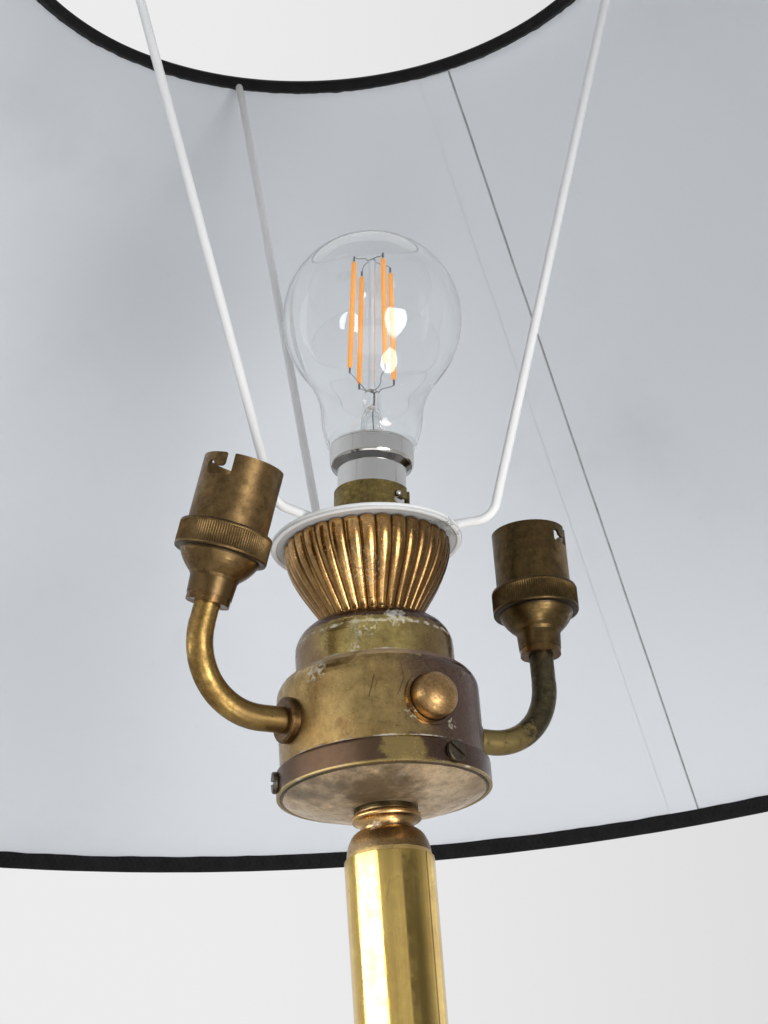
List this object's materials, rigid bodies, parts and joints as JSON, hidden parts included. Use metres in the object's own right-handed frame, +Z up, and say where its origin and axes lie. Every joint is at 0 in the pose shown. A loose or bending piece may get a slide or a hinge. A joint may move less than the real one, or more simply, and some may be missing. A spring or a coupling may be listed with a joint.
{
  "type": "floor lamp",
  "caption": "Tall brass floor lamp with a round weighted base, a switch housing with bent side arms and bayonet lampholders, a fluted cup and a wide conical shade on a wire carrier.",
  "frame": {"origin": "centre of the base on the floor", "axes": "+Z up the column, +X along the right side arm, the switch button on -Y"},
  "size_m": [0.7515, 0.7516, 1.6798],
  "materials": {
    "felt": "matt wool felt",
    "iron": "rough casting",
    "polished_brass": "polished",
    "aged_brass": "brown patina over spun brass",
    "gilt_bronze": "gilt, rubbed",
    "steel": "plain",
    "black_plastic": "moulded",
    "porcelain": "glazed",
    "white_paint": "gloss paint, worn",
    "lining": "smooth lined card",
    "black_tape": "woven cotton tape",
    "clear_glass": "clear",
    "nickel": "nickel plate",
    "phosphor": "coated filament"
  },
  "bodies": {
    "stand": {"base_felt": "felt", "base_weight": "iron", "base_cover": "polished_brass", "base_nut": "steel", "cord_bushing": "black_plastic", "column_foot": "polished_brass", "column_tube": "polished_brass", "tie_rod": "steel", "neck": "aged_brass", "pan": "aged_brass", "pan_nut": "steel", "pan_screws": "aged_brass", "drum": "aged_brass", "drum_cap": "aged_brass", "fluted_cup": "gilt_bronze", "top_stem": "steel", "stem_nut": "steel", "switch_body": "black_plastic", "switch_sleeve": "polished_brass", "terminal_block": "porcelain", "left_arm": "polished_brass", "right_arm": "polished_brass", "left_collar": "aged_brass", "right_collar": "aged_brass", "arm_nuts": "steel", "left_foot_ring": "aged_brass", "right_foot_ring": "aged_brass", "left_skirt": "aged_brass", "left_knurl": "aged_brass", "left_shell": "aged_brass", "left_insert": "porcelain", "right_skirt": "aged_brass", "right_knurl": "aged_brass", "right_shell": "aged_brass", "right_insert": "porcelain", "centre_skirt": "aged_brass", "centre_knurl": "aged_brass", "centre_shell": "aged_brass", "centre_insert": "porcelain"},
    "button": {"switch_button": "aged_brass"},
    "bulb": {"bulb_glass": "clear_glass", "bulb_cap": "nickel", "bulb_stem": "clear_glass", "bulb_filaments": "phosphor", "bulb_leads": "nickel", "bulb_contacts": "black_plastic"},
    "centre_contacts": {"centre_plungers": "polished_brass"},
    "shade": {"carrier_ring": "white_paint", "carrier_wire_back": "white_paint", "carrier_wire_left": "white_paint", "carrier_wire_right": "white_paint", "shade_cone": "lining", "shade_top_wire": "white_paint", "shade_bottom_wire": "white_paint", "shade_top_tape": "black_tape", "shade_bottom_tape": "black_tape"},
    "left_contact_a": {"left_plunger_a": "polished_brass"},
    "left_contact_b": {"left_plunger_b": "polished_brass"},
    "right_contact_a": {"right_plunger_a": "polished_brass"},
    "right_contact_b": {"right_plunger_b": "polished_brass"}
  },
  "joints": [
    {"name": "button_press", "type": "slide", "parent": "stand", "child": "button", "axis": [0, 1, 0], "range_m": [0, 0.003], "stiffness_N_per_m": 400, "springref_m": -0.004},
    {"name": "bulb_press", "type": "slide", "parent": "stand", "child": "bulb", "axis": [0.0571, -0.04, 0.9976], "range_m": [-0.002, 0], "stiffness_N_per_m": 1500, "springref_m": 0.003},
    {"name": "centre_contacts_slide", "type": "slide", "parent": "stand", "child": "centre_contacts", "axis": [0.0571, -0.04, 0.9976], "range_m": [-0.002, 0]},
    {"name": "left_contact_a_slide", "type": "slide", "parent": "stand", "child": "left_contact_a", "axis": [0.1822, -0.2957, 0.9377], "range_m": [-0.004, 0], "stiffness_N_per_m": 500, "springref_m": 0.003},
    {"name": "left_contact_b_slide", "type": "slide", "parent": "stand", "child": "left_contact_b", "axis": [0.1822, -0.2957, 0.9377], "range_m": [-0.004, 0], "stiffness_N_per_m": 500, "springref_m": 0.003},
    {"name": "right_contact_a_slide", "type": "slide", "parent": "stand", "child": "right_contact_a", "axis": [0, 0, 1], "range_m": [-0.004, 0], "stiffness_N_per_m": 500, "springref_m": 0.003},
    {"name": "right_contact_b_slide", "type": "slide", "parent": "stand", "child": "right_contact_b", "axis": [0, 0, 1], "range_m": [-0.004, 0], "stiffness_N_per_m": 500, "springref_m": 0.003},
    {"name": "shade_turn", "type": "hinge", "parent": "stand", "child": "shade", "pos_m": [0, 0, 1.4137], "axis": [0, 0, 1], "continuous": true}
  ],
  "couplings": [
    {"joint": "centre_contacts_slide", "follows": "bulb_press", "ratio": 1}
  ]
}
